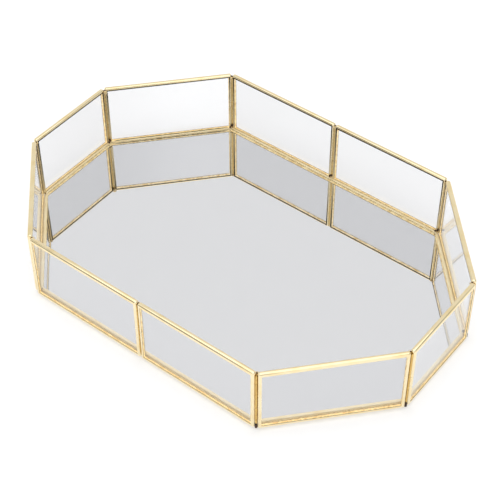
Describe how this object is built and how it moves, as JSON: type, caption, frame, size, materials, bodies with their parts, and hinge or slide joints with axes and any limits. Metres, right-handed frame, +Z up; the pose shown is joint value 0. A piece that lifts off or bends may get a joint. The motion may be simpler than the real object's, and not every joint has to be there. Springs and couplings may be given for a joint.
{
  "type": "dresser vanity tray",
  "caption": "Octagonal glass and brass dresser tray with clear soldered walls round a framed mirror base.",
  "frame": {"origin": "centre of the tray on the surface that it stands on, under the middle of the four feet", "axes": "+X along the long axis, +Y across it to the back side, +Z up"},
  "size_m": [0.3036, 0.2074, 0.052],
  "materials": {
    "brass": "polished pale gold channel",
    "solder": "plated solder, satin and slightly uneven",
    "wall_glass": "clear, polished",
    "mirror_glass": "silvered, polished",
    "mirror_coat": "grey mirror backing paint, matte",
    "foot_rubber": "translucent soft rubber, satin"
  },
  "bodies": {
    "root": {"back_left_base_solder": "solder", "back_left_frame": "brass", "back_left_pane": "wall_glass", "back_left_post_solder": "solder", "back_middle_post_solder": "solder", "back_right_base_solder": "solder", "back_right_frame": "brass", "back_right_pane": "wall_glass", "back_right_post_solder": "solder", "base_channel": "brass", "front_left_base_solder": "solder", "front_left_frame": "brass", "front_left_pane": "wall_glass", "front_left_post_solder": "solder", "front_middle_post_solder": "solder", "front_right_base_solder": "solder", "front_right_frame": "brass", "front_right_pane": "wall_glass", "front_right_post_solder": "solder", "left_back_foot": "foot_rubber", "left_back_post_solder": "solder", "left_back_slant_base_solder": "solder", "left_back_slant_frame": "brass", "left_back_slant_pane": "wall_glass", "left_end_base_solder": "solder", "left_end_frame": "brass", "left_end_pane": "wall_glass", "left_front_foot": "foot_rubber", "left_front_post_solder": "solder", "left_front_slant_base_solder": "solder", "left_front_slant_frame": "brass", "left_front_slant_pane": "wall_glass", "mirror_backing_coat": "mirror_coat", "mirror_glass": "mirror_glass", "right_back_foot": "foot_rubber", "right_back_post_solder": "solder", "right_back_slant_base_solder": "solder", "right_back_slant_frame": "brass", "right_back_slant_pane": "wall_glass", "right_end_base_solder": "solder", "right_end_frame": "brass", "right_end_pane": "wall_glass", "right_front_foot": "foot_rubber", "right_front_post_solder": "solder", "right_front_slant_base_solder": "solder", "right_front_slant_frame": "brass", "right_front_slant_pane": "wall_glass"}
  },
  "joints": []
}
